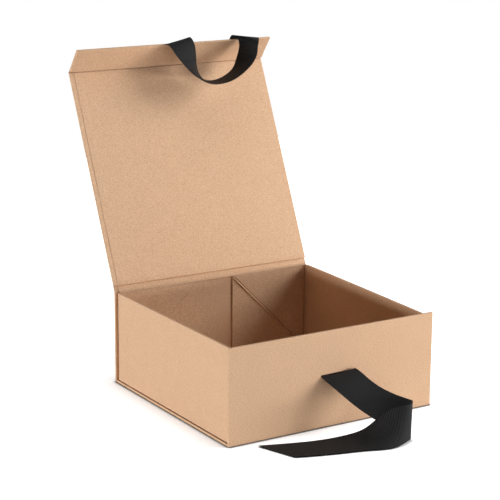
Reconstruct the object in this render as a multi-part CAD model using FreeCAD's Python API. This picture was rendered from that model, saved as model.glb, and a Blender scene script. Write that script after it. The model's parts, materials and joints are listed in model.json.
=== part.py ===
"""Fold-flat gift box of paper-wrapped greyboard, open, with a hinged lid, a magnetic closing flap and ribbons.

Millimetres. X runs along the front, Y from the front to the back, Z up. The origin is the middle of the
base's underside, on the table.
"""
import FreeCAD, Part
import math
import os

from FreeCAD import Vector

os.makedirs("parts", exist_ok=True)

# Overall sizes of the erected box
case_width = 250.0  # across the front
case_depth = 240.0  # outer face of the front panel to outer face of the spine
wall_height = 102.0  # table to the top of the walls
flap_length = 35.0  # lid crease to the flap's free edge

# Sheet stock
board = 2.0  # greyboard of the panels
wing_board = 1.2  # thinner board of the back wings
paper = 0.3  # kraft covering and lining paper
tape = 0.15  # adhesive strip behind a wing
ribbon_width = 38.0
ribbon_thickness = 0.6

# Wrapping
turn_in = 14.0  # width of the covering paper turned over a free edge
liner_margin = 5.0  # from a free edge to the edge of the lining paper

# Clearances
panel_gap = 0.5  # between panels that close on each other
crease_gap = 0.5  # from a crease line to the sheet that ends at it
gutter_liner_gap = 1.0  # from the lid's crease to the gutter's lining
spine_top_gap = 0.5  # spine's top crease down to the spine board
corner_gap = 0.4  # between the ends of panels that meet at a corner
side_inset = 1.0  # case edge to the outer face of a side wall
wing_swing_gap = 3.2  # side wall's back end to the wing that folds past it
wing_edge_gap = 0.6  # side wall's inner face to the wing's outer edge
wing_top_gap = 1.0  # wall top down to the wing's top edge
wing_groove = 2.0  # width of the diagonal fold groove
wing_tip = 6.0  # corner cut off the wings where four creases meet

# Hinge positions
lid_lean = 24.4  # degrees the open lid leans back from upright
flap_fold = 61.0  # degrees the flap is folded in from the lid's plane
lid_setback = 2.4  # lid crease to the lid board
lid_liner_setback = 2.0  # lid board's hinge end to the lid's lining
flap_end_gap = 0.5  # lid board to the flap crease

# Closing discs and ribbon slots
disc_radius = 5.0
disc_clearance = 0.1
disc_spacing = 120.0  # between the two discs
disc_reach = 22.0  # flap crease to the discs
slot_x = 4.0  # middle of both ribbon slots
slot_height = 55.0  # table to the slot in the front panel
slot_setback = 18.0  # flap's free edge to its slot
slot_clearance = 1.0  # each side of the ribbon
slot_opening = 3.0
ribbon_bend = 2.3  # inner radius of the ribbon over the flap's free edge
ribbon_lift = 0.3  # running gap of the hanging loop off that bend
loop_end_x = 90.0  # where the ribbon goes back over the flap
loop_end_reach = 29.0  # free edge to the tip of that end
end_slant = 14.0  # diagonal cut of the flap ribbon's end
tie_slant = 19.0  # diagonal cut of the tie's end

# Sizes that follow
skin = board + 2 * paper
lined = skin + paper
half_width = case_width / 2
back_face = case_depth / 2
front_face = -case_depth / 2
wall_foot = lined + panel_gap
base_back = back_face - lined - corner_gap
wall_inner = half_width - side_inset - skin
wing_thickness = wing_board + paper
wing_front = back_face - skin - tape - wing_thickness
wall_back = wing_front - wing_swing_gap
wing_size = wall_height - wing_top_gap - wall_foot
wing_outer = wall_inner - wing_edge_gap
wing_inner = wing_outer - wing_size
lid_angle = 90.0 - lid_lean
flap_angle = lid_angle + flap_fold
gutter_length = (lined + panel_gap) / math.cos(math.radians(lid_lean))
closed_lid_top = wall_height + lined + panel_gap
slot_width = ribbon_width + 2 * slot_clearance


def block(low, high):
    """Box between two opposite corners."""
    size = [b - a for a, b in zip(low, high)]
    return Part.makeBox(size[0], size[1], size[2], Vector(*low))


def direction(angle):
    """Unit vector in the YZ plane, turned from +Y towards +Z."""
    a = math.radians(angle)
    return Vector(0, math.cos(a), math.sin(a))


def stand(shape, crease, angle):
    """Turns a panel made flat (length along Y, inner face up) so that it starts at a crease."""
    placed = shape.copy()
    placed.rotate(Vector(0, 0, 0), Vector(1, 0, 0), angle)
    placed.translate(crease)
    return placed


def disc_pair(radius, y, low, high):
    """Two upright discs on the flat panel, for magnets, plates and their holes."""
    discs = []
    for side in (-1, 1):
        centre = Vector(side * disc_spacing / 2, y, low)
        discs.append(Part.makeCylinder(radius, high - low, centre))
    return Part.makeCompound(discs)


def flat_panel(start, end, sheet_start, sheet_end, free_start=False, free_end=False, liner_start=0.0):
    """Board, covering paper and lining paper of one panel of the case, lying flat on its outer face."""
    board_start = start + (paper if free_start else 0)
    board_end = end - (paper if free_end else 0)
    core = block((-half_width + paper, board_start, paper), (half_width - paper, board_end, paper + board))
    window_start = start + (turn_in if free_start else 0)
    window_end = end - (turn_in if free_end else 0)
    window_side = half_width - turn_in
    window = block((-window_side, window_start, paper + board), (window_side, window_end, skin))
    cover = block((-half_width, start, 0), (half_width, end, skin)).cut(core).cut(window)
    sheet = block((-half_width, sheet_start, 0), (half_width, sheet_end, paper))
    cover = cover.fuse(sheet).removeSplitter()
    liner_side = half_width - liner_margin
    liner_low = start + (liner_margin if free_start else liner_start)
    liner_high = end - (liner_margin if free_end else 0)
    liner = block((-liner_side, liner_low, skin), (liner_side, liner_high, lined))
    pad_low = max(liner_low, window_start)
    pad = block((-window_side, pad_low, paper + board), (window_side, window_end, skin))
    return core, cover, liner.fuse(pad).removeSplitter()


def base_panel():
    """Base of the case, with the covering sheet running out to both bottom creases."""
    length = 2 * base_back
    overhang = back_face - base_back
    core, cover, liner = flat_panel(0, length, -overhang, length + overhang)
    floor_side = wall_inner - corner_gap
    floor = block((-floor_side, 0, paper), (floor_side, length, lined))
    liner = liner.common(floor)
    place = Vector(0, -base_back, 0)
    return {
        "base_board": stand(core, place, 0),
        "base_wrap": stand(cover, place, 0),
        "base_liner": stand(liner, place, 0),
    }


def spine_panel():
    """Back of the case. Its lining shows only between the two wings."""
    top = wall_height - spine_top_gap
    core, cover, liner = flat_panel(corner_gap, top, corner_gap, wall_height - crease_gap)
    strip_side = wing_inner - corner_gap
    strip = block((-strip_side, wall_foot, 0), (strip_side, wall_height - wing_top_gap, lined))
    crease = Vector(0, back_face, 0)
    return {
        "spine_board": stand(core, crease, 90),
        "spine_wrap": stand(cover, crease, 90),
        "spine_liner": stand(liner.common(strip), crease, 90),
    }


def front_panel():
    """Front of the case, lying from its top edge down, with the ribbon slot and two closing plates."""
    length = wall_height - corner_gap
    core, cover, liner = flat_panel(0, length, 0, length, free_start=True)
    liner = liner.common(block((-half_width, 0, 0), (half_width, wall_height - wall_foot, lined)))
    slot_y = wall_height - slot_height
    slot_low = (slot_x - slot_width / 2, slot_y - slot_opening / 2, -paper)
    slot_high = (slot_x + slot_width / 2, slot_y + slot_opening / 2, paper + board)
    slot = block(slot_low, slot_high)
    disc_y = wall_height - (closed_lid_top - disc_reach)
    holes = disc_pair(disc_radius + disc_clearance, disc_y, paper, paper + board)
    plates = disc_pair(disc_radius, disc_y, paper, paper + board)
    top = Vector(0, front_face, wall_height)
    return {
        "front_board": stand(core.cut(slot).cut(holes), top, -90),
        "front_wrap": stand(cover.cut(slot), top, -90),
        "front_liner": stand(liner, top, -90),
        "front_plates": stand(plates, top, -90),
    }


def side_wall(name, side):
    """One upright side wall: a board in a paper cap that is open at the foot."""
    y_front = -base_back
    low = (wall_inner, y_front, wall_foot)
    high = (wall_inner + skin, wall_back, wall_height)
    core_low = (wall_inner + paper, y_front + paper, wall_foot)
    core_high = (wall_inner + paper + board, wall_back - paper, wall_height - paper)
    core = block(core_low, core_high)
    cap = block(low, high).cut(core)
    if side < 0:
        core = core.mirror(Vector(0, 0, 0), Vector(1, 0, 0))
        cap = cap.mirror(Vector(0, 0, 0), Vector(1, 0, 0))
    return {f"{name}_wall_board": core, f"{name}_wall_wrap": cap}


def wing_triangle(outline, y_low, y_high, side):
    """A triangle of a wing, from its outline of (distance in from the outer edge, height) points."""
    points = [Vector(side * (wing_outer - u), y_low, wall_foot + v) for u, v in outline]
    face = Part.Face(Part.makePolygon(points + points[:1]))
    return face.extrude(Vector(0, y_high - y_low, 0))


def back_wing(name, side):
    """The square wing of one side wall, halved by its diagonal crease, and the tape behind its fixed half."""
    groove = wing_groove / math.sqrt(2)
    folding = [
        (0, wing_tip),
        (wing_tip - groove, wing_tip),
        (wing_size - groove, wing_size),
        (0, wing_size),
    ]
    fixed = [
        (wing_tip, corner_gap),
        (wing_size, corner_gap),
        (wing_size, wing_size - groove),
        (wing_tip, wing_tip - groove),
    ]
    board_front = wing_front + paper
    board_back = wing_front + wing_thickness
    tape_side = [wing_size - turn_in, wing_size]
    tape_top = wing_size - 2 * turn_in
    strip = [(tape_side[0], turn_in), (tape_side[1], turn_in), (tape_side[1], tape_top), (tape_side[0], tape_top)]
    return {
        f"{name}_wing_fold_board": wing_triangle(folding, board_front, board_back, side),
        f"{name}_wing_fold_paper": wing_triangle(folding, wing_front, board_front, side),
        f"{name}_wing_fixed_board": wing_triangle(fixed, board_front, board_back, side),
        f"{name}_wing_fixed_paper": wing_triangle(fixed, wing_front, board_front, side),
        f"{name}_wing_tape": wing_triangle(strip, board_back, board_back + tape, side),
    }


spine_crease = Vector(0, back_face, wall_height)
lid_crease = spine_crease + direction(lid_angle) * gutter_length
lid_length = lid_crease.y - front_face + panel_gap + lined
flap_crease = lid_crease + direction(lid_angle) * lid_length


def hinge_gutter():
    """Paper strip between the spine's top crease and the lid's crease: covering outside, lining inside."""
    start = crease_gap
    end = gutter_length - crease_gap
    liner_side = half_width - liner_margin
    cover = block((-half_width, start, 0), (half_width, end, paper))
    lining_end = gutter_length - gutter_liner_gap
    lining = block((-liner_side, start, paper), (liner_side, lining_end, 2 * paper))
    return {
        "gutter_wrap": stand(cover, spine_crease, lid_angle),
        "gutter_liner": stand(lining, spine_crease, lid_angle),
    }


def lid_panel():
    """Lid, from the gutter's crease to the flap's crease."""
    end = lid_length - flap_end_gap
    sheet_end = lid_length - crease_gap
    core, cover, liner = flat_panel(
        lid_setback, end, crease_gap, sheet_end, liner_start=lid_liner_setback
    )
    return {
        "lid_board": stand(core, lid_crease, lid_angle),
        "lid_wrap": stand(cover, lid_crease, lid_angle),
        "lid_liner": stand(liner, lid_crease, lid_angle),
    }


def closing_flap():
    """Flap with its two magnets and the slot that its ribbon comes out of."""
    start = lined + corner_gap / 2
    core, cover, liner = flat_panel(start, flap_length, crease_gap, flap_length, free_end=True)
    slot_y = flap_length - slot_setback
    slot_low = (slot_x - slot_width / 2, slot_y - slot_opening / 2, -paper)
    slot_high = (slot_x + slot_width / 2, slot_y + slot_opening / 2, paper + board)
    slot = block(slot_low, slot_high)
    holes = disc_pair(disc_radius + disc_clearance, disc_reach, paper, paper + board)
    magnets = disc_pair(disc_radius, disc_reach, paper, paper + board)
    return {
        "flap_board": stand(core.cut(slot).cut(holes), flap_crease, flap_angle),
        "flap_wrap": stand(cover.cut(slot), flap_crease, flap_angle),
        "flap_liner": stand(liner, flap_crease, flap_angle),
        "flap_magnets": stand(magnets, flap_crease, flap_angle),
    }


# The ribbon turns round the flap's free edge about a line inside the edge.
edge_y = flap_length - lined / 2
edge_z = lined / 2
loop_axis = flap_crease + direction(flap_angle) * edge_y + direction(flap_angle + 90) * edge_z
bend_outer = ribbon_bend + ribbon_thickness
bend_past_edge = 14.0  # degrees the fixed bend goes on past the edge, towards the inner face


def edge_bend(x_middle):
    """Ribbon bent round the free edge, on the flat flap, from its outer face to just past the edge."""
    x_low = x_middle - ribbon_width / 2
    start = Vector(x_low, edge_y, edge_z)
    along = Vector(1, 0, 0)
    sweep = 90 + bend_past_edge
    solids = [Part.makeCylinder(r, ribbon_width, start, along, sweep) for r in (bend_outer, ribbon_bend)]
    bend = solids[0].cut(solids[1])
    middle_turn = Part.makeCylinder(bend_outer, ribbon_width, start, along, sweep).CenterOfMass
    now = math.degrees(math.atan2(middle_turn.z - edge_z, middle_turn.y - edge_y))
    wanted = (bend_past_edge - 90) / 2
    bend.rotate(start, along, wanted - now)
    return bend


def flap_ribbon_ends():
    """The two ends of the flap's ribbon that lie on its outer face and turn over its free edge."""
    half = ribbon_width / 2
    low = edge_z - bend_outer
    high = edge_z - ribbon_bend
    slot_y = flap_length - slot_setback
    leg_low = (slot_x - half, slot_y - ribbon_thickness / 2, low)
    leg_high = (slot_x + half, slot_y + ribbon_thickness / 2, paper + board)
    tail_low = (slot_x - half, slot_y - ribbon_thickness / 2, low)
    tail_high = (slot_x + half, edge_y, high)
    start = block(leg_low, leg_high).fuse([block(tail_low, tail_high), edge_bend(slot_x)])
    tip_y = flap_length - loop_end_reach
    corners = [
        Vector(loop_end_x - half, edge_y, low),
        Vector(loop_end_x + half, edge_y, low),
        Vector(loop_end_x + half, tip_y, low),
        Vector(loop_end_x - half, tip_y + end_slant, low),
    ]
    tail = Part.Face(Part.makePolygon(corners + corners[:1])).extrude(Vector(0, 0, ribbon_thickness))
    end = tail.fuse(edge_bend(loop_end_x))
    return {
        "flap_ribbon_start": stand(start.removeSplitter(), flap_crease, flap_angle),
        "flap_ribbon_end": stand(end.removeSplitter(), flap_crease, flap_angle),
    }


def smooth_line(points, steps):
    """Catmull-Rom curve through points, with a number of steps from each point to the next."""
    points = [Vector(*p) for p in points]
    padded = [points[0] * 2 - points[1]] + points + [points[-1] * 2 - points[-2]]
    line = []
    for i in range(len(points) - 1):
        a, b, c, d = padded[i:i + 4]
        for k in range(steps + (i == len(points) - 2)):
            t = k / steps
            pull = (c - a) * t + (a * 2 - b * 5 + c * 4 - d) * t ** 2 + (b * 3 - a - c * 3 + d) * t ** 3
            line.append(b + pull * 0.5)
    return line


def ribbon(stations, steps, end_cut=0.0):
    """Ribbon solid through stations: middle point, then the heading and rise of the line across it."""
    across = []
    for station in stations:
        heading, rise = (math.radians(angle) for angle in station[3:])
        across.append((math.cos(rise) * math.cos(heading), math.cos(rise) * math.sin(heading), math.sin(rise)))
    middles = smooth_line([station[:3] for station in stations], steps)
    widths = smooth_line(across, steps)
    sections = []
    last = len(middles) - 1
    for i, (middle, width) in enumerate(zip(middles, widths)):
        run = middles[min(i + 1, last)] - middles[max(i - 1, 0)]
        width.normalize()
        side = width * (ribbon_width / 2)
        lift = run.cross(width)
        lift.normalize()
        lift *= ribbon_thickness / 2
        run.normalize()
        slant = run * (end_cut / 2 * max(0, i - last + steps) / steps)
        corners = [
            middle - side - lift - slant,
            middle + side - lift + slant,
            middle + side + lift + slant,
            middle - side + lift - slant,
        ]
        sections.append(corners + corners[:1])
    faces = [Part.Face(Part.makePolygon(sections[i])) for i in (0, last)]
    for near, far in zip(sections, sections[1:]):
        for k in range(4):
            edge = Part.makeLine(near[k], near[k + 1])
            faces.append(Part.makeRuledSurface(edge, Part.makeLine(far[k], far[k + 1]), 1))
    shell = Part.makeShell(faces)
    shell.sewShape()
    solid = Part.makeSolid(shell)
    if solid.Volume < 0:
        solid.reverse()
    return solid


# The hanging loop, from the axis at the flap's free edge: across, back, up, then heading and rise
loop_leave = 143.0  # degrees round that axis at which the loop leaves the bend
leave = direction(loop_leave) * (bend_outer + ribbon_lift + ribbon_thickness / 2)
loop_route = [
    (slot_x, leave.y, leave.z, 0, 0),
    (6, -12, -6, 28, 13),
    (10, -16, -18, 42, 10),
    (16, -19, -31, 58, 5),
    (29, -22, -42, 75, 0),
    (50, -24, -41, 85, -5),
    (71, -23, -30, 90, -10),
    (80, -22, -16, 95, -8),
    (84, -24, -8, 110, 0),
    (loop_end_x, leave.y, leave.z, 180, 0),
]

# The tie, from the front face: across, out from the face, up, then heading and rise
tie_route = [
    (slot_x, board, slot_height, 0, 0),
    (slot_x, -0.5, slot_height, 0, 1),
    (slot_x, -4, slot_height + 1, 0, 10),
    (8, -18, 50, 15, 18),
    (19, -36, 36, 20, 22),
    (34, -57, 26, 25, 35),
    (43, -67, 20, 30, 60),
    (45, -74, 20, 80, 90),
    (35, -79, 20, 90, 90),
    (22, -79, 19, 80, 70),
    (11, -70, 11.5, 70, 33),
    (1, -64, 5.5, 70, 13),
    (-14, -58, 2.5, 70, 5),
    (-47, -51, 1.5, 75, 0),
    (-93, -38, 2, 85, -3),
]


def hanging_ribbons():
    """The loop that hangs over the flap's edge and the tie that lies out in front."""
    loop = [(x, loop_axis.y + y, loop_axis.z + z, heading, rise) for x, y, z, heading, rise in loop_route]
    tie = [(x, front_face + y, z, heading, rise) for x, y, z, heading, rise in tie_route]
    return {
        "flap_ribbon_loop": ribbon(loop, 3),
        "tie_ribbon": ribbon(tie, 3, end_cut=tie_slant),
    }


nodes = {}
nodes.update(base_panel())
nodes.update(spine_panel())
nodes.update(front_panel())
for side_name, side_sign in (("left", -1), ("right", 1)):
    nodes.update(side_wall(side_name, side_sign))
    nodes.update(back_wing(side_name, side_sign))
nodes.update(hinge_gutter())
nodes.update(lid_panel())
nodes.update(closing_flap())
nodes.update(flap_ribbon_ends())
nodes.update(hanging_ribbons())

for name, shape in nodes.items():
    shape.exportStep(f"parts/{name}.step")

print(len(nodes), "pieces")
print("lid crease", lid_crease)
print("flap crease", flap_crease)
print("loop axis", loop_axis)
print("lid length", round(lid_length, 3), "gutter", round(gutter_length, 3))
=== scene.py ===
# %% [markdown]
# # A kraft gift box with black ribbons
#
# The imported solids give the box its construction and its joints. This lesson dresses them: wrapped
# panels with rounded paper edges, pressed creases, ribbons of grosgrain, and a bright studio.

# %% Load the imported part
import json
import math

import bpy
from mathutils import Matrix, Vector


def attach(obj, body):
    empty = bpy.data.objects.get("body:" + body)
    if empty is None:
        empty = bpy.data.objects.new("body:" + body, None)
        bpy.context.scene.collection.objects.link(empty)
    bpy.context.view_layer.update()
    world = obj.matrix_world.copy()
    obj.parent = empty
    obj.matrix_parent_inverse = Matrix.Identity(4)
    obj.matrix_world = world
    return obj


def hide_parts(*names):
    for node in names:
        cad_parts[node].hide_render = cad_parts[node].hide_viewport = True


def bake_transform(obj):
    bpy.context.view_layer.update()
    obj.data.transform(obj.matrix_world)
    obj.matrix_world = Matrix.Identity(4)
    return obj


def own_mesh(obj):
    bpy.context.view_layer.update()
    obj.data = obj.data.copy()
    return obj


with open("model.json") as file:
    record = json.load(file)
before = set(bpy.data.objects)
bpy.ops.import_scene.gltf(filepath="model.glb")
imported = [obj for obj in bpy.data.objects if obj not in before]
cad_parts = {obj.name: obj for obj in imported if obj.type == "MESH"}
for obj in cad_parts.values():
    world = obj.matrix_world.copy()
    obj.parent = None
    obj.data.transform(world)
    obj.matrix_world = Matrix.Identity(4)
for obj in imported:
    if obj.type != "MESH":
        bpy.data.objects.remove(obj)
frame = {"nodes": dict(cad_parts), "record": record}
scene = bpy.context.scene
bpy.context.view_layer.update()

# %% [markdown]
# ## Sizes
#
# All lengths are millimetres in the part's own frame, as on a maker's drawing, and become metres in
# `metres`. Blender could also work in millimetres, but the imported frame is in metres, so one function
# changes the unit. The panels share the solids' sizes, so each dressed piece sits where its solid
# does.

# %% Sizes of the case
HALF_WIDTH = 125.0
HEIGHT = 102.0
FRONT_FACE = -120.0
BACK_FACE = 120.0
BASE_END = 116.7  # base board, half length
WALL_FOOT = 3.4  # table to the lower edge of a side wall
WALL_BACK = 112.55  # back end of a side wall
WALL_OUTER = 124.0  # outer face of a side wall
LINER_MARGIN = 5.0  # from a free edge to the lining
BOARD_SKIN = 2.6  # board with covering paper on both faces
LINED = 2.9  # the same with the lining
PAPER = 0.3  # thickness of one sheet
EDGE_RADIUS = 0.55  # paper turned round a board edge
LID_ANGLE = 65.6  # degrees up from level
FLAP_ANGLE = 126.6  # measured in the same way
LID_LENGTH = 244.942
FLAP_LENGTH = 35.0
SPINE_CREASE = Vector((0, BACK_FACE, HEIGHT))
LID_CREASE = Vector((0, 121.5423, 105.4))
FLAP_CREASE = Vector((0, 222.7291, 328.4650))
print("tray", 2 * HALF_WIDTH, "by", BACK_FACE - FRONT_FACE, "by", HEIGHT, "mm")


# %% Helpers for shaping
def metres(point):
    return Vector(point) * 0.001


def deselect():
    bpy.ops.object.select_all(action="DESELECT")


def apply_modifiers(obj):
    deselect()
    obj.select_set(True)
    bpy.context.view_layer.objects.active = obj
    for modifier in list(obj.modifiers):
        bpy.ops.object.modifier_apply(modifier=modifier.name)


def smooth(obj, angle=35.0):
    deselect()
    obj.select_set(True)
    bpy.context.view_layer.objects.active = obj
    bpy.ops.object.shade_smooth_by_angle(angle=math.radians(angle))
    weighted = obj.modifiers.new("level faces", "WEIGHTED_NORMAL")
    weighted.keep_sharp = True
    apply_modifiers(obj)


def rounded(obj, radius, segments=3, angle=40.0):
    bevel = obj.modifiers.new("round", "BEVEL")
    bevel.width = radius * 0.001
    bevel.segments = segments
    bevel.limit_method = "ANGLE"
    bevel.angle_limit = math.radians(angle)
    apply_modifiers(obj)
    smooth(obj)
    return obj


def box(name, low, high):
    """A cube primitive at its size and place."""
    low, high = Vector(low), Vector(high)
    deselect()
    bpy.ops.mesh.primitive_cube_add(size=1, location=metres((low + high) / 2))
    obj = bpy.context.object
    obj.name = name
    obj.scale = metres(high - low)
    bpy.ops.object.transform_apply(location=True, rotation=True, scale=True)
    return obj


print("one millimetre is", round(metres((1, 0, 0)).x, 4), "m in the frame")

# %% [markdown]
# ## Kraft paper
#
# The box is covered with uncoated kraft paper: unbleached pulp, pressed and dried without a coating.
# Its surface scatters light evenly, with a fine speckle of fibres, a slow change of tone and a few
# dark specks. A photograph of paper could be wrapped round the panels, but noise in the object's own
# coordinates has no seams and keeps one scale on all of them.

# %% Nodes and colours
def linear(hex_colour):
    channels = [int(hex_colour[i:i + 2], 16) / 255 for i in (0, 2, 4)]
    return [c / 12.92 if c <= 0.04045 else ((c + 0.055) / 1.055) ** 2.4 for c in channels] + [1.0]


def add_node(tree, kind, inputs=None, **settings):
    node = tree.nodes.new(kind)
    for key, value in settings.items():
        setattr(node, key, value)
    for key, value in (inputs or {}).items():
        if isinstance(value, bpy.types.NodeSocket):
            tree.links.new(value, node.inputs[key])
        else:
            node.inputs[key].default_value = value
    return node


MIX_A, MIX_B, MIX_RESULT = 6, 7, 2  # the colour sockets of a Mix node


def new_material(name):
    material = bpy.data.materials.new(name)
    material.use_nodes = True
    tree = material.node_tree
    return material, tree, tree.nodes["Principled BSDF"]


print("kraft tan in linear light", [round(c, 3) for c in linear("e2bf9f")[:3]])


# %% Uncoated kraft paper
FIBRE_SIZE = 0.75  # mm; real fibres are about 0.03 mm wide, drawn coarser so that the speckle shows
MOTTLE_SIZE = 14.0  # mm, slow change of tone
SPECK_SIZE = 1.1  # mm, dark bits of bark


def kraft_paper():
    """Matt tan paper: a fine speckle and a faint cloudiness are what the eye sees of its fibres."""
    material, tree, shader = new_material("uncoated_kraft_paper")
    place = add_node(tree, "ShaderNodeTexCoord").outputs["Object"]
    grain = add_node(tree, "ShaderNodeMapping", {"Vector": place, "Scale": (0.6, 1.0, 1.0)})
    fibres = add_node(
        tree, "ShaderNodeTexNoise",
        {"Vector": grain.outputs["Vector"], "Scale": 1000 / FIBRE_SIZE, "Detail": 2.0, "Roughness": 0.7},
    ).outputs["Fac"]
    tone = add_node(tree, "ShaderNodeMapRange", {"Value": fibres, "From Min": 0.36, "From Max": 0.64})
    paper = add_node(
        tree, "ShaderNodeMix",
        {"Factor": tone.outputs["Result"], MIX_A: linear("c89f7d"), MIX_B: linear("e2bf9f")},
        data_type="RGBA",
    ).outputs[MIX_RESULT]
    cloud = add_node(tree, "ShaderNodeTexNoise", {"Vector": place, "Scale": 1000 / MOTTLE_SIZE})
    shade = add_node(
        tree, "ShaderNodeMapRange",
        {"Value": cloud.outputs["Fac"], "From Min": 0.3, "From Max": 0.7, "To Min": 0.985, "To Max": 1.012},
    ).outputs["Result"]
    clouded = add_node(tree, "ShaderNodeVectorMath", {0: paper, "Scale": shade}, operation="SCALE")
    dots = add_node(
        tree, "ShaderNodeTexNoise", {"Vector": place, "Scale": 1000 / SPECK_SIZE, "Detail": 0.0},
    ).outputs["Fac"]
    specks = add_node(
        tree, "ShaderNodeMapRange", {"Value": dots, "From Min": 0.80, "From Max": 0.83, "To Max": 0.5},
    ).outputs["Result"]
    colour = add_node(
        tree, "ShaderNodeMix",
        {"Factor": specks, MIX_A: clouded.outputs["Vector"], MIX_B: linear("7d5836")},
        data_type="RGBA",
    ).outputs[MIX_RESULT]
    tree.links.new(colour, shader.inputs["Base Color"])
    shader.inputs["Roughness"].default_value = 0.85
    shader.inputs["Specular IOR Level"].default_value = 0.06
    bump = add_node(tree, "ShaderNodeBump", {"Height": fibres, "Strength": 0.1, "Distance": 0.0003})
    tree.links.new(bump.outputs["Normal"], shader.inputs["Normal"])
    return material


kraft = kraft_paper()
print(kraft.name, "speckle", FIBRE_SIZE, "mm")

# %% [markdown]
# ## Grosgrain
#
# Both ribbons are black grosgrain, woven with thick weft threads that stand up as ribs across the
# ribbon. The ribs follow the ribbon's own length, so they are drawn in its UV map, which holds
# millimetres across and along. Real ribs could be modelled, but hundreds of them would only cost
# triangles at this size. Spun yarn has hardly any gloss, so the ribbon shows the light that falls on
# each side of it.

# %% Black grosgrain
RIB_PITCH = 1.5  # mm from rib to rib, a little coarser than real ribs so that they show


def grosgrain():
    """Black polyester yarn, nearly matt; its ribs have a painted highlight on the crests and painted shade
    between.
    """
    material, tree, shader = new_material("black_polyester_grosgrain")
    uv = add_node(tree, "ShaderNodeUVMap", uv_map="ribbon").outputs["UV"]
    along = add_node(tree, "ShaderNodeSeparateXYZ", {"Vector": uv}).outputs["Y"]
    turn = 2 * math.pi / RIB_PITCH
    turns = add_node(tree, "ShaderNodeMath", {0: along, 1: turn}, operation="MULTIPLY").outputs[0]
    ribs = add_node(tree, "ShaderNodeMath", {0: turns}, operation="SINE").outputs[0]
    tone = add_node(tree, "ShaderNodeMapRange", {"Value": ribs, "From Min": -1.0, "From Max": 1.0})
    # painted highlight and shade: the yarn's one black is drawn lighter on each rib's crest and darker in
    # the valley between ribs
    yarn = add_node(
        tree, "ShaderNodeMix",
        {"Factor": tone.outputs["Result"], MIX_A: linear("171717"), MIX_B: linear("353536")},
        data_type="RGBA",
    ).outputs[MIX_RESULT]
    tree.links.new(yarn, shader.inputs["Base Color"])
    shader.inputs["Specular IOR Level"].default_value = 0.03
    shader.inputs["Roughness"].default_value = 0.5
    bump = add_node(tree, "ShaderNodeBump", {"Height": ribs, "Strength": 0.5, "Distance": 0.0002})
    tree.links.new(bump.outputs["Normal"], shader.inputs["Normal"])
    return material


ribbon_black = grosgrain()
print(ribbon_black.name, "ribs every", RIB_PITCH, "mm")

# %% [markdown]
# ## What lies inside the paper
#
# The boards, the adhesive strips and the closing discs are covered. Grain and tool marks could be
# drawn on them but would never show, so a plain finish each is enough: pressed grey pulp, a waxed
# release strip, and steel turned and left bare.

# %% Hidden materials
def plain(name, colour, roughness, metallic=0.0):
    material, _, shader = new_material(name)
    shader.inputs["Base Color"].default_value = linear(colour)
    shader.inputs["Roughness"].default_value = roughness
    shader.inputs["Metallic"].default_value = metallic
    return material


bare_steel = plain("turned_steel", "9a9a98", 0.35, 1.0)
SLOT_MATERIAL = {
    "greyboard": plain("pressed_greyboard", "8f857a", 0.9),
    "kraft_paper": kraft,
    "tape": plain("waxed_adhesive_strip", "e4dfd2", 0.6),
    "steel": bare_steel,
    "magnet": bare_steel,
    "ribbon": ribbon_black,
}
for subpart in frame["record"]["subparts"]:
    solid = frame["nodes"][subpart["node"]]
    solid.data.materials.clear()
    solid.data.materials.append(SLOT_MATERIAL[subpart["material_slot"]])


def dress(obj, slot, *nodes):
    """Gives a piece its finish and lets it stand for solids."""
    obj.data.materials.clear()
    obj.data.materials.append(SLOT_MATERIAL[slot])
    if nodes:
        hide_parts(*nodes)
    return obj


# %% [markdown]
# ## Wrapped panels
#
# A panel of the real box is a greyboard in its covering paper, which is folded over the board and
# glued, so every edge is slightly round. The board and the paper could be two meshes, but only the
# paper shows, so one box with a bevel stands for both. A panel of the case is made lying flat on its
# outer face and is then stood up at its crease.

# %% Panel helpers
def stand(obj, crease, angle):
    """Turns a panel made flat, inner face up, so that it starts at its crease."""
    turn = Matrix.Rotation(math.radians(angle), 4, "X")
    obj.data.transform(Matrix.Translation(metres(crease)) @ turn)
    return obj


def panel(name, low, high, radius=EDGE_RADIUS):
    return rounded(box(name, low, high), radius)


base = dress(panel("base_panel", (-HALF_WIDTH, -BASE_END, 0), (HALF_WIDTH, BASE_END, BOARD_SKIN)),
             "kraft_paper", "base_board", "base_wrap")
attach(base, "base")
print(base.name, len(base.data.polygons), "faces")

# %% [markdown]
# The spine, the lid and the left wall are plain panels too. The spine stands at the back edge of the
# base, and the lid starts at its own crease above the spine and leans back.

# %% Spine, lid and left wall
SPINE_FOOT = 0.4  # table to the spine board
EDGE_GAP = 0.5  # from a board's end to the next crease
LID_SETBACK = 2.4  # lid's crease to the lid board

low, high = (-HALF_WIDTH, SPINE_FOOT, 0), (HALF_WIDTH, HEIGHT - EDGE_GAP, BOARD_SKIN)
spine = stand(panel("spine_panel", low, high), (0, BACK_FACE, 0), 90)
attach(dress(spine, "kraft_paper", "spine_board", "spine_wrap"), "spine")

low, high = (-HALF_WIDTH, LID_SETBACK, 0), (HALF_WIDTH, LID_LENGTH - EDGE_GAP, BOARD_SKIN)
lid = stand(panel("lid_panel", low, high), LID_CREASE, LID_ANGLE)
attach(dress(lid, "kraft_paper", "lid_board", "lid_wrap"), "lid")

low, high = (-WALL_OUTER, -BASE_END, WALL_FOOT), (BOARD_SKIN - WALL_OUTER, WALL_BACK, HEIGHT)
left_wall = panel("left_wall", low, high)
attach(dress(left_wall, "kraft_paper", "left_wall_board", "left_wall_wrap"), "left_wall")
print("lid leans", 90 - LID_ANGLE, "degrees back")

# %% [markdown]
# ## Panels with a slot
#
# On the front panel and on the flap a ribbon comes out of a slot that is punched through the covering
# and the board. An inset and an extrusion could sink it, but a boolean with a box cuts it in one
# stroke, as the punch does. The lining covers its inner end.

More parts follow.
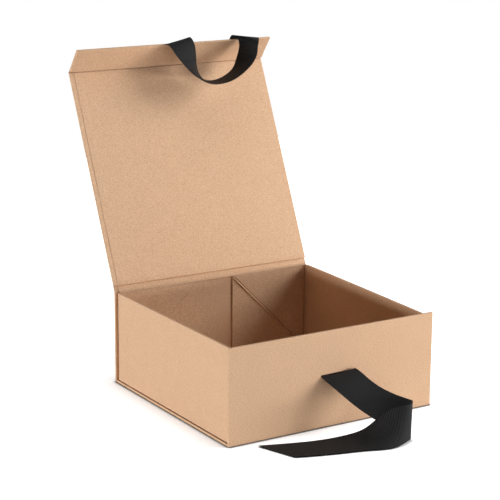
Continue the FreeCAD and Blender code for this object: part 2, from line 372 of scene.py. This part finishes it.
# %% Front panel and flap
SLOT_LOW_X, SLOT_HIGH_X = -16.0, 24.0
SLOT_OPENING = 3.0
SLOT_DEPTH = 2.3  # outer face to the covering on the inner face
FRONT_SLOT = 47.0  # front panel's top edge to the middle of its slot
FLAP_SLOT = 17.0  # flap's crease to the middle of its slot
FRONT_FOOT = 0.4  # table to the front board
FLAP_SETBACK = 3.1  # flap's crease to the flap board


def punch(obj, middle_y):
    """Cuts the ribbon's slot through the covering and the board."""
    low = (SLOT_LOW_X, middle_y - SLOT_OPENING / 2, -1)
    high = (SLOT_HIGH_X, middle_y + SLOT_OPENING / 2, SLOT_DEPTH)
    cutter = box("punch", low, high)
    modifier = obj.modifiers.new("slot", "BOOLEAN")
    modifier.operation = "DIFFERENCE"
    modifier.solver = "EXACT"
    modifier.object = cutter
    apply_modifiers(obj)
    bpy.data.objects.remove(cutter)
    smooth(obj)
    return obj


low, high = (-HALF_WIDTH, 0, 0), (HALF_WIDTH, HEIGHT - FRONT_FOOT, BOARD_SKIN)
front = punch(panel("front_panel", low, high), FRONT_SLOT)
stand(front, (0, FRONT_FACE, HEIGHT), -90)
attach(dress(front, "kraft_paper", "front_board", "front_wrap", "front_plates"), "front")

low, high = (-HALF_WIDTH, FLAP_SETBACK, 0), (HALF_WIDTH, FLAP_LENGTH, BOARD_SKIN)
flap = punch(panel("flap_panel", low, high), FLAP_SLOT)
stand(flap, FLAP_CREASE, FLAP_ANGLE)
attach(dress(flap, "kraft_paper", "flap_board", "flap_wrap", "flap_magnets"), "flap")
print("slots", SLOT_HIGH_X - SLOT_LOW_X, "by", SLOT_OPENING, "mm")

# %% [markdown]
# ## Warped right wall
#
# The right wall leans in at its front end, because its board has warped. A lattice could bend a box,
# but a grid laid on the warped surface and thickened says in one formula how far each point leans.

# %% Grids laid on a surface
def lay_grid(name, rows):
    """A grid primitive whose points are laid on rows of places (mm)."""
    down, across = len(rows) - 1, len(rows[0]) - 1
    deselect()
    bpy.ops.mesh.primitive_grid_add(x_subdivisions=across, y_subdivisions=down, size=1)
    obj = bpy.context.object
    obj.name = name
    for vertex in obj.data.vertices:
        i, j = round((vertex.co.y + 0.5) * down), round((vertex.co.x + 0.5) * across)
        vertex.co = metres(rows[i][j])
    return obj


def thicken(obj, thickness, even=True):
    """Gives a grid its thickness, half to each side."""
    solidify = obj.modifiers.new("thick", "SOLIDIFY")
    solidify.thickness = thickness * 0.001
    solidify.offset = 0
    solidify.use_even_offset = even
    apply_modifiers(obj)
    return obj


print("grids can be laid on a surface and thickened")

# %% Warped right wall
WALL_LEAN = 9.0  # mm at the top of the front end
WALL_BEND = 1.15  # above 1, so that the lean fades towards the back
WALL_MIDDLE = WALL_OUTER - BOARD_SKIN / 2
WALL_RISE = 98.0  # height of the wall's middle surface
WALL_ROWS, WALL_COLUMNS = 24, 12
wall_start, wall_end = -BASE_END + PAPER, WALL_BACK - PAPER
rows = []
for i in range(WALL_ROWS + 1):
    along = i / WALL_ROWS
    y = wall_start + along * (wall_end - wall_start)
    lean = WALL_LEAN * (1 - along) ** WALL_BEND
    shares = [j / WALL_COLUMNS for j in range(WALL_COLUMNS + 1)]
    rows.append([(WALL_MIDDLE - lean * up, y, WALL_FOOT + PAPER + up * WALL_RISE) for up in shares])
right_wall = rounded(thicken(lay_grid("right_wall", rows), BOARD_SKIN), EDGE_RADIUS, angle=60.0)
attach(dress(right_wall, "kraft_paper", "right_wall_board", "right_wall_wrap"), "right_wall")
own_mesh(right_wall)
print("right wall leans in", WALL_LEAN, "mm")

# %% [markdown]
# ## Linings
#
# The lining papers are cut smaller than the panels and glued on last, so a margin of covering shows
# round them. They could be drawn on the panels, but as thin plates with hardly rounded edges they
# have the fine shadow of a cut sheet. The lid's lining runs over the covering's turned-in edges and
# dips where those end, which leaves a faint ridge along each side, so it is a grid with that section.

# %% Plain linings
LINING_EDGE = 0.12  # rounding of a cut edge


def lining(name, low, high, crease, angle, body):
    piece = stand(panel(name, low, high, LINING_EDGE), crease, angle)
    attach(dress(piece, "kraft_paper", name.replace("lining", "liner")), body)
    return piece


LINER_SIDE = HALF_WIDTH - LINER_MARGIN
GLUED = BOARD_SKIN - 0.05  # the lining is pressed a little into the covering
FLAP_LINING_START = 3.2  # from the flap's crease

low, high = (-LINER_SIDE, FLAP_LINING_START, GLUED), (LINER_SIDE, FLAP_LENGTH - LINER_MARGIN, LINED)
lining("flap_lining", low, high, FLAP_CREASE, FLAP_ANGLE, "flap")
low, high = (-LINER_SIDE, LINER_MARGIN, GLUED), (LINER_SIDE, HEIGHT - WALL_FOOT, LINED)
lining("front_lining", low, high, (0, FRONT_FACE, HEIGHT), -90, "front")
low, high = (-LINER_SIDE, -BASE_END, GLUED), (LINER_SIDE, BASE_END, LINED)
lining("base_lining", low, high, (0, 0, 0), 0, "base")
print("linings stop", LINER_MARGIN, "mm short of a free edge")

# %% Lid lining
# Half of the section across the lid: place across, and height above the lid's outer face
RIDGE = [(-120, 2.80), (-113.5, 2.80), (-112.5, 2.79), (-110.8, 2.68), (-109.5, 2.66)]
LID_LINING = 0.4  # paper with its glue
LID_LINING_START = 5.3  # from the lid's crease
LID_LINING_GAP = 1.7  # from its end to the flap's crease

section = RIDGE + [(-x, height) for x, height in reversed(RIDGE)]
places = (LID_LINING_START, LID_LENGTH / 2, LID_LENGTH - LID_LINING_GAP)
rows = [[(x, along, height) for x, height in section] for along in places]
lid_lining = thicken(lay_grid("lid_lining", rows), LID_LINING)
smooth(lid_lining, 50.0)
stand(lid_lining, LID_CREASE, LID_ANGLE)
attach(dress(lid_lining, "kraft_paper", "lid_liner"), "lid")
print("lining dips", HALF_WIDTH + RIDGE[2][0], "mm in from the lid's sides")

# %% [markdown]
# ## Back wings
#
# Each side wall has a square wing at the back, halved by a diagonal crease, so that the box can fold
# flat. The lower half is stuck to the spine and the upper half folds with the wall. A half has four
# corners, so it is a cube whose corners are moved to them and whose edges are rounded. Two extruded
# triangles could do, but the cut tip makes a fourth corner. The left wing is pressed flatter, so its
# edges are rounded less.

# %% Wing halves
WING_OUTER = 120.8
WING_SIZE = 97.6
WING_TOP = WING_SIZE - 0.1
WING_FOOT = 0.4
WING_TIP = 6.0  # corner cut off where the creases meet
GROOVE = 1.414  # the diagonal groove, measured upright
WING_FRONT = 115.75
WING_BACK = 117.25
FOLDING = [(0, WING_TIP), (WING_TIP - GROOVE, WING_TIP), (WING_TOP - GROOVE, WING_TOP), (0, WING_TOP)]
FIXED = [(WING_TIP, WING_FOOT), (WING_SIZE, WING_FOOT)]
FIXED += [(WING_SIZE, WING_SIZE - GROOVE), (WING_TIP, WING_TIP - GROOVE)]


def wing_half(name, outline, side, radius):
    """Half a wing, from its corners' distance in from the outer edge and height: foot, then top."""
    obj = box(name, (-1, -1, -1), (1, 1, 1))
    for vertex in obj.data.vertices:
        outer, top = vertex.co.x * side > 0, vertex.co.z > 0
        corner = (3 if outer else 2) if top else (0 if outer else 1)
        inward, up = outline[corner]
        y = WING_BACK if vertex.co.y > 0 else WING_FRONT
        vertex.co = metres((side * (WING_OUTER - inward), y, WALL_FOOT + up))
    return rounded(obj, radius)


for side_name, side, radius in (("left", -1, 0.4), ("right", 1, 0.45)):
    wing = wing_half(f"{side_name}_wing_upper", FOLDING, side, radius)
    dress(wing, "kraft_paper", f"{side_name}_wing_fold_board", f"{side_name}_wing_fold_paper")
    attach(wing, f"{side_name}_wing")
    stuck = wing_half(f"{side_name}_wing_lower", FIXED, side, radius)
    dress(stuck, "kraft_paper", f"{side_name}_wing_fixed_board", f"{side_name}_wing_fixed_paper")
    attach(stuck, "spine")
print("wing halves", WING_SIZE, "mm on a side")

# %% [markdown]
# Between the wings the spine's lining shows. The left wing was pressed down nearly level with it, and
# the right one stands up more. A wing could be tilted, but it has to fold about its diagonal, so the
# lining is a plate that is thicker at its left edge.

# %% Spine lining
LEFT_STEP = 0.6  # mm that the lining's left edge stands higher
LEFT_SEAM, RIGHT_SEAM = 0.15, 0.6  # gaps to the wings
TOP_SEAM = 1.4  # below the tray's top edge

edge = WING_OUTER - WING_SIZE
low, high = (LEFT_SEAM - edge, WALL_FOOT, GLUED), (edge - RIGHT_SEAM, HEIGHT - TOP_SEAM, LINED)
spine_lining = panel("spine_lining", low, high, LINING_EDGE)
half_way = (GLUED + LINED) / 2 * 0.001
for vertex in spine_lining.data.vertices:
    if vertex.co.z > half_way:
        vertex.co.z += 0.001 * LEFT_STEP * (0.5 - vertex.co.x * 1000 / (2 * edge))
stand(spine_lining, (0, BACK_FACE, 0), 90)
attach(dress(spine_lining, "kraft_paper", "spine_liner"), "spine")
print("spine lining", round(2 * edge, 1), "mm wide")

# %% [markdown]
# The paper over the diagonal is one sheet on the real wing. It is a narrow grid laid along the
# diagonal between the spine's half and the folding half: nearly flat on the left, and on the right a
# groove with a raised lip. The wing could be one mesh with a bone at the crease, but a strip keeps both
# halves stiff. A thin plate closes each corner behind the wall's end.

# %% Wing creases and corner papers
# Sections of the creases: distance across the diagonal, and depth behind the wing's face
FLAT_CREASE = ((-1.25, 0.2), (-0.5, 0.0), (0, -0.35), (0.5, 0.0), (1.25, 0.2))
RAISED_CREASE = (
    (-2.2, 0.3), (-1.7, -0.5), (-0.9, -0.8), (-0.2, -0.3), (0.3, 0.7), (0.8, 1.2), (1.3, 0.9),
)
CREASE_PAPER = 0.25
DIAGONAL = math.sqrt(0.5)
for side_name, side, section in (("left", -1, FLAT_CREASE), ("right", 1, RAISED_CREASE)):
    rows = []
    for share in (0.07, 0.3, 0.55, 0.8, 0.99):
        reach = WING_SIZE * share
        row = []
        for across, deep in section:
            x = side * (WING_OUTER - reach + across * DIAGONAL)
            row.append((x, WING_FRONT + deep, WALL_FOOT + reach + across * DIAGONAL))
        rows.append(row)
    crease = dress(thicken(lay_grid(f"{side_name}_wing_crease", rows), CREASE_PAPER), "kraft_paper")
    smooth(crease, 50.0)
    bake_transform(crease)

CORNER_HALF = 0.2  # half the thickness of a corner paper
CORNER_START = WALL_BACK - 0.35
CORNER_FOOT, CORNER_TOP = 3.6, 101.4
for side_name, x, end in (("left", -121.5, 117.15), ("right", 121.9, 117.35)):
    low, high = (x - CORNER_HALF, CORNER_START, CORNER_FOOT), (x + CORNER_HALF, end, CORNER_TOP)
    corner = panel(f"{side_name}_corner_paper", low, high, CORNER_HALF / 2)
    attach(dress(corner, "kraft_paper"), f"{side_name}_wall")
print("creases and corners of both wings")

# %% [markdown]
# ## Creases of the case
#
# The covering runs across the creases in one piece, and the lining does so at the lid. Solids can't
# bend, so narrow strips are laid along a curve there.

# %% Places on the panels and curves
def direction(angle):
    a = math.radians(angle)
    return Vector((0, math.cos(a), math.sin(a)))


def on_panel(crease, angle, along, inward):
    """Where a point of a flat panel goes when the panel stands at its crease."""
    point = crease + direction(angle) * along + direction(angle + 90) * inward
    return point.y, point.z


def on_gutter(along, inward):
    return on_panel(SPINE_CREASE, LID_ANGLE, along, inward)


def on_lid(along, inward):
    return on_panel(LID_CREASE, LID_ANGLE, along, inward)


def on_flap(along, inward):
    return on_panel(FLAP_CREASE, FLAP_ANGLE, along, inward)


def curve_through(stations, steps):
    """Catmull-Rom values through stations of any number of values."""
    first = [2 * a - b for a, b in zip(stations[0], stations[1])]
    last = [2 * a - b for a, b in zip(stations[-1], stations[-2])]
    padded = [first, *stations, last]
    line = []
    for i in range(len(stations) - 1):
        for k in range(steps + (i == len(stations) - 2)):
            t = k / steps
            values = []
            for a, b, c, d in zip(*padded[i:i + 4]):
                square, cube = 2 * a - 5 * b + 4 * c - d, 3 * b - a - 3 * c + d
                values.append(b + ((c - a) * t + square * t * t + cube * t ** 3) / 2)
            line.append(values)
    return line


def strip(name, profile, half_width):
    """A strip of paper along a profile of (y, z) points."""
    line = curve_through(profile, 4)
    rows = [[(x, y, z) for x in (-half_width, 0, half_width)] for y, z in line]
    piece = dress(thicken(lay_grid(name, rows), PAPER), "kraft_paper")
    smooth(piece, 50.0)
    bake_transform(piece)
    return piece


print("lid crease at", [round(v, 1) for v in on_lid(0, 0)])

# %% Lid hinge
lining_profile = [(115.3, 101.2), (115.5, 101.7), (116.2, 102.0), (117.5, 102.15), (119.0, 102.15)]
lining_profile += [on_gutter(1.0, 0.75), on_gutter(2.2, 0.75), on_gutter(3.6, 0.8)]
lining_profile += [on_lid(1.4, 0.5), on_lid(2.0, 0.7), on_lid(2.2, 1.9), on_lid(2.5, 2.68)]
lining_profile += [on_lid(4.35, 2.75)]
hinge_lining = strip("hinge_lining", lining_profile, LINER_SIDE)
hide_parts("gutter_liner")

COVER_SIDE = HALF_WIDTH - 0.1
COVER = PAPER / 2  # middle of the covering paper, in from the outer face
cover_profile = [(BACK_FACE - COVER, 101.0), (BACK_FACE - COVER, 101.9)]
cover_profile += [on_gutter(0.4, COVER), on_gutter(1.9, COVER), on_gutter(3.4, COVER)]
cover_profile += [on_lid(0.3, COVER), on_lid(2.6, COVER)]
hinge_cover = strip("hinge_cover", cover_profile, COVER_SIDE)
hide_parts("gutter_wrap")
print("hinge strips", len(hinge_lining.data.polygons), "and", len(hinge_cover.data.polygons), "faces")

# %% Flap and bottom creases
crease_profile = [on_lid(LID_LENGTH - 1.0, COVER), on_lid(LID_LENGTH - 0.4, COVER)]
crease_profile += [on_lid(LID_LENGTH, 0.2)]
crease_profile += [on_flap(0.4, COVER), on_flap(1.8, COVER), on_flap(3.4, COVER)]
strip("flap_crease", crease_profile, COVER_SIDE)

for name, body, sign in (("front_crease", "front", -1), ("spine_crease", "spine", 1)):
    under = [(116.4, 0.15), (118.4, 0.15), (119.5, 0.17), (119.82, 0.45), (119.85, 0.9), (119.85, 1.6)]
    under = [(sign * y, z) for y, z in under]
    strip(name, under, COVER_SIDE)
print("creases of the flap, the front and the spine")

# %% [markdown]
# ## Ribbons
#
# A ribbon is a strip 38 mm wide that bends and twists but doesn't stretch. Cloth simulation could
# drop it, but it would come to lie in some other way than the ribbons of this box do. It is laid
# along listed stations: a middle point, then the heading and the rise of the line across the
# ribbon there, and a share of the width where the ribbon is gathered in a fold. A smooth curve goes
# through them, and the yarn's stiffness then evens out its bends.

# %% Ribbon along stations
RIBBON_WIDTH = 38.0
RIBBON_THICKNESS = 0.5
COLUMNS = 8  # faces across the ribbon
STEPS = 8  # rows from station to station
SLANT_RUN = 1.6  # the rows turn to the cut end's slant over this many times its length


def ribbon_rows(stations, end_cut, stiffness):
    """Rows of points across a ribbon, its last end cut on a slant, and the length up to each row."""
    turned = []
    for x, y, z, heading, rise, *spread in stations:
        h, r = math.radians(heading), math.radians(rise)
        across = (math.cos(r) * math.cos(h), math.cos(r) * math.sin(h), math.sin(r))
        turned.append((x, y, z, *across, *(spread or [1.0])))
    line = curve_through(turned, STEPS)
    for _ in range(stiffness):
        for i in range(1, len(line) - 1):
            line[i] = [(a + 2 * b + c) / 4 for a, b, c in zip(*line[i - 1:i + 2])]
    middles = [Vector(values[:3]) for values in line]
    last = len(line) - 1
    lengths = [0.0]
    for a, b in zip(middles, middles[1:]):
        lengths.append(lengths[-1] + (b - a).length)
    rows = []
    for i, values in enumerate(line):
        across = Vector(values[3:6]).normalized() * RIBBON_WIDTH * values[6]
        run = (middles[min(i + 1, last)] - middles[max(i - 1, 0)]).normalized()
        left_over = lengths[-1] - lengths[i]
        slant = run * (end_cut * max(0.0, 1 - left_over / (SLANT_RUN * end_cut)))
        shares = [j / COLUMNS - 0.5 for j in range(COLUMNS + 1)]
        rows.append([middles[i] + (across + slant) * share for share in shares])
    return rows, lengths


print("ribbons are", RIBBON_WIDTH, "mm wide, with", STEPS, "rows from station to station")


# %% Ribbon cloth
def ribbon(name, rows, lengths, body, node):
    """A length of ribbon in the place of its solid."""
    obj = lay_grid(name, rows)
    layer = obj.data.uv_layers.active
    layer.name = "ribbon"
    for corner in layer.data:
        corner.uv = (corner.uv.x * RIBBON_WIDTH, lengths[round(corner.uv.y * (len(rows) - 1))])
    smooth(thicken(obj, RIBBON_THICKNESS, even=False), 60.0)
    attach(dress(obj, "ribbon", node), body)
    return obj


# %% [markdown]
# The flap's ribbon comes out of its slot on the outer side, goes over the free edge in a loose arch,
# hangs in a loop and goes back over the edge. Its stations are measured from a line inside that edge.
# One curve gives all of it, and it is cut into three lengths: the two ends on the flap and the loop
# between them. A loop that swings would pass through the lid as the lid falls back.

# %% Flap ribbon
LOOP_AXIS = Vector((0, *on_flap(FLAP_LENGTH - LINED / 2, LINED / 2)))


def on_outer_face(x, back, lift, heading=0, rise=0, spread=1.0):
    """A station on the flap's outer face, measured back from its free edge."""
    point = LOOP_AXIS - direction(FLAP_ANGLE) * back - direction(FLAP_ANGLE + 90) * lift
    return x, point.y, point.z, heading, rise, spread


hanging = [
    (3, 1.5, 4, 18, 6),
    (4, -5, 2, 22, 10),
    (6, -12, -6, 28, 13),
    (10, -16, -18, 42, 10),
    (14, -22, -30, 58, 5),
    (27, -25, -41, 75, 0),
    (48, -27, -40, 85, -5),
    (69, -26, -29, 90, -10),
    (80, -22, -16, 95, -8),
    (82, -23, -3, 94, -4, 0.95),
    (84, -18, 4, 110, 2, 0.85),
    (87, -6, 5, 146, 4, 0.78),
]
loop_route = [on_outer_face(4, 15.5, 0), on_outer_face(4, 12, 2.5), on_outer_face(4, 5, 2.5)]
loop_route += [(x, LOOP_AXIS.y + y, LOOP_AXIS.z + z, *turn) for x, y, z, *turn in hanging]
loop_route += [on_outer_face(89, 2, 3.5, 170, 0, 0.8)]
loop_route += [on_outer_face(90, 9, 2.5, 180), on_outer_face(90, 21, 2.5, 180)]
FLAP_RIBBON_CUT = 14  # mm that the cut end slants
LOOSE = 2  # rounds of evening out
rows, lengths = ribbon_rows(loop_route, FLAP_RIBBON_CUT, LOOSE)

LEAVES, RETURNS = 2 * STEPS, 15 * STEPS  # rows where the loop leaves the flap and where it comes back
start, loop, end = slice(None, LEAVES + 1), slice(LEAVES, RETURNS + 1), slice(RETURNS, None)
ribbon("slot_end_ribbon", rows[start], lengths[start], "flap", "flap_ribbon_start")
ribbon("cut_end_ribbon", rows[end], lengths[end], "flap", "flap_ribbon_end")
loop_ribbon = ribbon(
    "loop_ribbon", rows[loop], lengths[loop], "flap", "flap_ribbon_loop",
)
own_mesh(loop_ribbon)

# %% [markdown]
# The tie comes out of the front panel's slot, falls to the table, stands on its edge where it turns
# round, and lies down towards its cut end. Its stations are measured from the front face.

# %% Tie
laid_out = [
    (4, 2, 55, 0, 0),
    (4, -0.5, 55, 0, 1),
    (4, -4, 56, 0, 10),
    (8, -18, 50, 15, 18),
    (19, -36, 36, 20, 22),
    (34, -57, 26, 25, 35),
    (43, -67, 20, 30, 60),
    (45, -74, 20, 80, 90),
    (35, -79, 20, 90, 90),
    (22, -79, 19, 80, 70),
    (11, -70, 11.5, 70, 33),
    (1, -64, 5.5, 70, 13),
    (-14, -58, 2.5, 70, 5),
    (-47, -50, 1, 75, 0),
    (-91, -35, 1, 85, 0),
]
tie_route = [(x, FRONT_FACE + y, z, heading, rise) for x, y, z, heading, rise in laid_out]
TIE_CUT = 19  # mm that the cut end slants
STIFF = 16  # rounds of evening out
rows, lengths = ribbon_rows(tie_route, TIE_CUT, STIFF)
tie = ribbon("tie_ribbon_cloth", rows, lengths, "front", "tie_ribbon")
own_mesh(tie)

# %% [markdown]
# ## Studio floor
#
# The box stands on a white table that runs into a white surround. More light would bleach the paper
# too, so the floor glows a little where it is seen, and the lamps stay low. The glow fades near the
# box, and right at its foot the table's white is painted darker; both are a painted shadow along its foot.

# %% Floor and surround
FLOOR_SIZE = 2.6  # metres
FLOOR_GLOW = 0.85
AMBIENT = 0.012
# the glow's fade over both distances, and the darker white within the nearer one, are painted shadow
WIDE_SHADE, FOOT_SHADE = 0.03, 0.004  # metres from the box over which the glow fades


def seen_directly(tree):
    """1 for the camera, mirror and glass rays, 0 for the light that falls on the object."""
    path = add_node(tree, "ShaderNodeLightPath").outputs
    mirror, glass = path["Is Glossy Ray"], path["Is Transmission Ray"]
    shiny = add_node(tree, "ShaderNodeMath", {0: mirror, 1: glass}, operation="MAXIMUM").outputs[0]
    seen = add_node(tree, "ShaderNodeMath", {0: path["Is Camera Ray"], 1: shiny}, operation="MAXIMUM")
    return seen.outputs[0]


deselect()
bpy.ops.mesh.primitive_plane_add(size=FLOOR_SIZE, location=(0, 0, -0.0003))
floor = bpy.context.object
floor.name = "studio_floor"
floor_white, tree, shader = new_material("painted_white_table")
wide = add_node(tree, "ShaderNodeAmbientOcclusion", {"Distance": WIDE_SHADE}, samples=8).outputs["AO"]
near = add_node(tree, "ShaderNodeAmbientOcclusion", {"Distance": FOOT_SHADE}, samples=8).outputs["AO"]
foot = add_node(tree, "ShaderNodeMath", {0: near, 1: 3.0}, operation="POWER").outputs[0]
open_sky = add_node(tree, "ShaderNodeMath", {0: wide, 1: foot}, operation="MULTIPLY").outputs[0]
glow = add_node(tree, "ShaderNodeMath", {0: open_sky, 1: FLOOR_GLOW}, operation="MULTIPLY").outputs[0]
seen = seen_directly(tree)
glow = add_node(tree, "ShaderNodeMath", {0: seen, 1: glow}, operation="MULTIPLY").outputs[0]
white = linear("e6e6e6")[:3]
# painted contact shadow: the table's white is darkened by the cubed near occlusion at the box's foot
white_with_painted_foot_shadow = add_node(tree, "ShaderNodeVectorMath", {0: white, "Scale": foot}, operation="SCALE")
tree.links.new(white_with_painted_foot_shadow.outputs["Vector"], shader.inputs["Base Color"])
tree.links.new(glow, shader.inputs["Emission Strength"])
shader.inputs["Emission Color"].default_value = (1, 1, 1, 1)
shader.inputs["Roughness"].default_value = 0.9
shader.inputs["Specular IOR Level"].default_value = 0.0
floor.data.materials.append(floor_white)

world = bpy.data.worlds.new("studio")
scene.world = world
world.use_nodes = True
sky = world.node_tree
surround = sky.nodes["Background"]
surround.inputs["Color"].default_value = (1, 1, 1, 1)
strength = add_node(sky, "ShaderNodeMapRange", {"Value": seen_directly(sky), "To Min": AMBIENT})
sky.links.new(strength.outputs["Result"], surround.inputs["Strength"])
print("floor", FLOOR_SIZE, "m, glow", FLOOR_GLOW)

# %% [markdown]
# ## Lamps
#
# A large soft key stands to the right in front. Low strips light the left wall and the front evenly,
# a weak lamp overhead opens the tray, and another shows the back. A black flag hangs above them, as
# in a studio for shiny goods, and keeps the ribbons' upper faces dark. A sun could light it all, but
# its shadows would be hard.

# %% Lamps and flag
LAMP_TARGET = Vector((0, 0, 0.12))
# Name, place and two sizes in metres, and watts
LAMPS = [
    ("key", (1.49, -0.76, 1.01), 1.0, 1.0, 28.5),
    ("left_strip", (-1.89, 0.17, 0.1), 1.2, 0.18, 30.0),
    ("right_strip", (1.34, -1.34, 0.1), 1.2, 0.18, 16.0),
    ("front_strip", (0.0, -1.9, 0.1), 1.2, 0.18, 6.5),
    ("overhead", (0.0, -0.17, 2.01), 1.2, 1.2, 6.5),
    ("back_fill", (0.4, 1.9, 0.5), 1.2, 0.6, 9.0),
]
for name, place, width, height, watts in LAMPS:
    lamp = bpy.data.lights.new(name, "AREA")
    lamp.shape = "RECTANGLE"
    lamp.size, lamp.size_y = width, height
    lamp.energy = watts
    light = bpy.data.objects.new(name, lamp)
    scene.collection.objects.link(light)
    light.location = place
    light.visible_glossy = name == "key"
    aim = LAMP_TARGET - Vector(place)
    light.rotation_euler = aim.to_track_quat("-Z", "Y").to_euler()

deselect()
bpy.ops.mesh.primitive_plane_add(size=6.0, location=(0, 0, 2.2))
flag = bpy.context.object
flag.name = "black_flag"
flag.visible_camera = False
flag.data.materials.append(plain("black_felt", "050505", 1.0))
print(len(LAMPS), "lamps")

# %% [markdown]
# ## Camera
#
# The camera looks from the left in front and a little from above. A short lens close by could show as
# much, but from far away with a long lens the upright edges stay nearly parallel.

# %% Camera
camera_data = bpy.data.cameras.new("photo_camera")
camera = bpy.data.objects.new("photo_camera", camera_data)
scene.collection.objects.link(camera)
scene.camera = camera
# Metres from the origin, in the camera's own directions
DISTANCE, TO_RIGHT, TO_TOP = 1.83476, -0.02123, 0.1543
camera_data.lens = 122.13
camera_data.sensor_width = 36.0
camera_data.sensor_fit = "HORIZONTAL"
azimuth, elevation, roll = math.radians(-32.107), math.radians(14.035), math.radians(-0.385)
level = math.cos(elevation)
back = Vector((math.sin(azimuth) * level, -math.cos(azimuth) * level, math.sin(elevation)))
right = Vector((0, 0, 1)).cross(back).normalized()
up = back.cross(right)
rolled_right = right * math.cos(roll) - up * math.sin(roll)
rolled_up = right * math.sin(roll) + up * math.cos(roll)
camera.matrix_world = Matrix((rolled_right, rolled_up, back)).transposed().to_4x4()
camera.location = back * DISTANCE + rolled_right * TO_RIGHT + rolled_up * TO_TOP
scene.view_settings.view_transform = "Standard"
print("camera", round(camera.location.length, 2), "m away")
